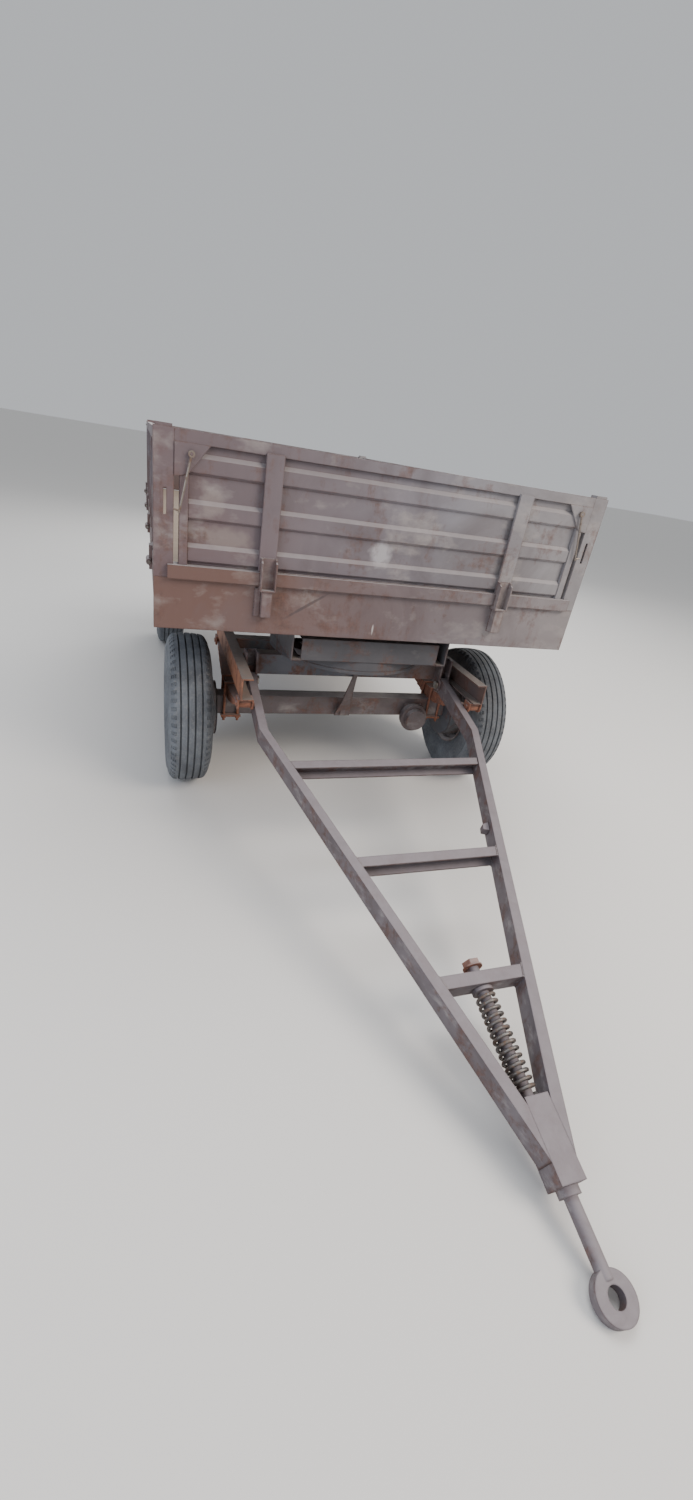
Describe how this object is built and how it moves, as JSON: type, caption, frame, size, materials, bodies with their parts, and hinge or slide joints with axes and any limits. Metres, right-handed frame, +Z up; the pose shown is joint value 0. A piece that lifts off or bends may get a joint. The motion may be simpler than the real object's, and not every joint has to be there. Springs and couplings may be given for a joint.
{
  "type": "farm tipping trailer",
  "caption": "Two-axle farm trailer with a hinged A-frame drawbar, a ball-race turntable front axle, leaf springs, drop sides and a hydraulically tipping load body.",
  "frame": {"origin": "on the ground, in the middle of the footprint of the whole trailer with its drawbar", "axes": "+Z up, -Y forwards along the drawbar; nodes named right are on +X and nodes named left on -X, as the trailer is seen from the front"},
  "size_m": [2.346, 6.4318, 1.9415],
  "materials": {
    "chassis_paint": "old blue-grey paint, dusty and rusting",
    "drawbar_paint": "faded brown-red paint, worn on top",
    "spring_steel": "rusty, unpainted",
    "bare_steel": "worn bare steel",
    "body_paint": "faded grey-mauve paint with rust",
    "floor_steel": "scoured and rusty sheet",
    "wheel_paint": "old blue paint, dusty",
    "tyre": "dusty black rubber"
  },
  "bodies": {
    "chassis": {"frame_rails": "chassis_paint", "frame_cross_members": "chassis_paint", "turntable_upper_ring": "chassis_paint", "rear_axle_beam": "chassis_paint", "rear_leaf_springs": "spring_steel", "rear_spring_hangers": "spring_steel", "rear_u_bolts": "spring_steel", "rear_brakes": "chassis_paint", "ram_cradle": "chassis_paint", "tip_hinge_pins": "bare_steel"},
    "front_bogie": {"turntable_lower_ring": "chassis_paint", "turntable_balls": "bare_steel", "bogie_frame": "chassis_paint", "front_axle_beam": "chassis_paint", "front_leaf_springs": "spring_steel", "front_spring_hangers": "spring_steel", "front_u_bolts": "spring_steel", "front_brakes": "chassis_paint", "front_brake_chamber": "chassis_paint", "drawbar_brackets": "chassis_paint"},
    "drawbar": {"drawbar_arms": "drawbar_paint", "drawbar_crossbars": "drawbar_paint", "drawbar_hinge_pins": "bare_steel", "drawbar_head": "drawbar_paint", "buffer_spring": "spring_steel"},
    "eye_shaft": {"towing_eye": "drawbar_paint", "eye_nut": "spring_steel"},
    "wheel_front_left": {"tyre_front_left": "tyre", "rim_front_left": "wheel_paint", "hub_front_left": "wheel_paint"},
    "wheel_front_right": {"tyre_front_right": "tyre", "rim_front_right": "wheel_paint", "hub_front_right": "wheel_paint"},
    "wheel_rear_left": {"tyre_rear_left": "tyre", "rim_rear_left": "wheel_paint", "hub_rear_left": "wheel_paint"},
    "wheel_rear_right": {"tyre_rear_right": "tyre", "rim_rear_right": "wheel_paint", "hub_rear_right": "wheel_paint"},
    "barrel": {"ram_barrel": "bare_steel"},
    "first_stage": {"ram_stage_1": "bare_steel"},
    "second_stage": {"ram_stage_2": "bare_steel"},
    "rod": {"ram_rod": "bare_steel"},
    "load_body": {"floor_sheet": "floor_steel", "floor_bearers": "chassis_paint", "floor_sills": "chassis_paint", "front_apron": "body_paint", "front_wall_panel": "body_paint", "front_wall_frame": "body_paint", "front_rail": "body_paint", "post_brackets": "body_paint", "corner_posts": "body_paint", "wall_hinge_pins": "bare_steel", "ram_socket": "chassis_paint"},
    "left_board": {"left_sideboard": "body_paint"},
    "right_board": {"right_sideboard": "body_paint"},
    "rear_board": {"tailgate": "body_paint"},
    "left_hook": {"left_latch": "bare_steel"},
    "right_hook": {"right_latch": "bare_steel"}
  },
  "joints": [
    {"name": "turntable_swivel", "type": "hinge", "parent": "chassis", "child": "front_bogie", "pos_m": [0, -0.21807, 0.8816], "axis": [0, 0, 1], "range_deg": [-80, 80]},
    {"name": "drawbar_hinge", "type": "hinge", "parent": "front_bogie", "child": "drawbar", "pos_m": [0, -0.44807, 0.7226], "axis": [-1, 0, 0], "range_deg": [-3, 32]},
    {"name": "eye_slide", "type": "slide", "parent": "drawbar", "child": "eye_shaft", "axis": [0, -0.9698, -0.2438], "range_m": [0, 0.03], "stiffness_N_per_m": 60000, "springref_m": -0.005, "deforming": ["buffer_spring"]},
    {"name": "wheel_front_left_spin", "type": "hinge", "parent": "front_bogie", "child": "wheel_front_left", "pos_m": [-0.9475, -0.21807, 0.4425], "axis": [1, 0, 0], "continuous": true},
    {"name": "wheel_front_right_spin", "type": "hinge", "parent": "front_bogie", "child": "wheel_front_right", "pos_m": [0.9475, -0.21807, 0.4425], "axis": [1, 0, 0], "continuous": true},
    {"name": "wheel_rear_left_spin", "type": "hinge", "parent": "chassis", "child": "wheel_rear_left", "pos_m": [-0.9475, 2.38193, 0.4425], "axis": [1, 0, 0], "continuous": true},
    {"name": "wheel_rear_right_spin", "type": "hinge", "parent": "chassis", "child": "wheel_rear_right", "pos_m": [0.9475, 2.38193, 0.4425], "axis": [1, 0, 0], "continuous": true},
    {"name": "tipping", "type": "hinge", "parent": "chassis", "child": "load_body", "pos_m": [0, 2.98193, 1.0686], "axis": [-1, 0, 0], "range_deg": [0, 45]},
    {"name": "ram_swing", "type": "hinge", "parent": "chassis", "child": "barrel", "pos_m": [0, 1.48193, 0.8986], "axis": [-1, 0, 0], "range_deg": [0, 21.6]},
    {"name": "ram_extension_1", "type": "slide", "parent": "barrel", "child": "first_stage", "axis": [0, 0, 1], "range_m": [0, 0.38]},
    {"name": "ram_extension_2", "type": "slide", "parent": "first_stage", "child": "second_stage", "axis": [0, 0, 1], "range_m": [0, 0.38]},
    {"name": "ram_extension_3", "type": "slide", "parent": "second_stage", "child": "rod", "axis": [0, 0, 1], "range_m": [0, 0.38]},
    {"name": "left_board_hinge", "type": "hinge", "parent": "load_body", "child": "left_board", "pos_m": [-1.159, 1.21593, 1.3312], "axis": [0, -1, 0], "range_deg": [0, 170]},
    {"name": "right_board_hinge", "type": "hinge", "parent": "load_body", "child": "right_board", "pos_m": [1.159, 1.21593, 1.3312], "axis": [0, 1, 0], "range_deg": [0, 170]},
    {"name": "tailgate_hinge", "type": "hinge", "parent": "load_body", "child": "rear_board", "pos_m": [0, 3.19593, 1.8972], "axis": [1, 0, 0], "range_deg": [0, 100]},
    {"name": "left_hook_hinge", "type": "hinge", "parent": "load_body", "child": "left_hook", "pos_m": [-0.9925, -0.80007, 1.8432], "axis": [0, -1, 0], "range_deg": [0, 60]},
    {"name": "right_hook_hinge", "type": "hinge", "parent": "load_body", "child": "right_hook", "pos_m": [0.9925, -0.80007, 1.8432], "axis": [0, 1, 0], "range_deg": [0, 60]}
  ],
  "couplings": [
    {"joint": "ram_swing", "follows": "tipping", "ratio": 0.477},
    {"joint": "ram_extension_1", "follows": "tipping", "m_per_rad": 0.48304},
    {"joint": "ram_extension_2", "follows": "tipping", "m_per_rad": 0.48304},
    {"joint": "ram_extension_3", "follows": "tipping", "m_per_rad": 0.48304}
  ]
}
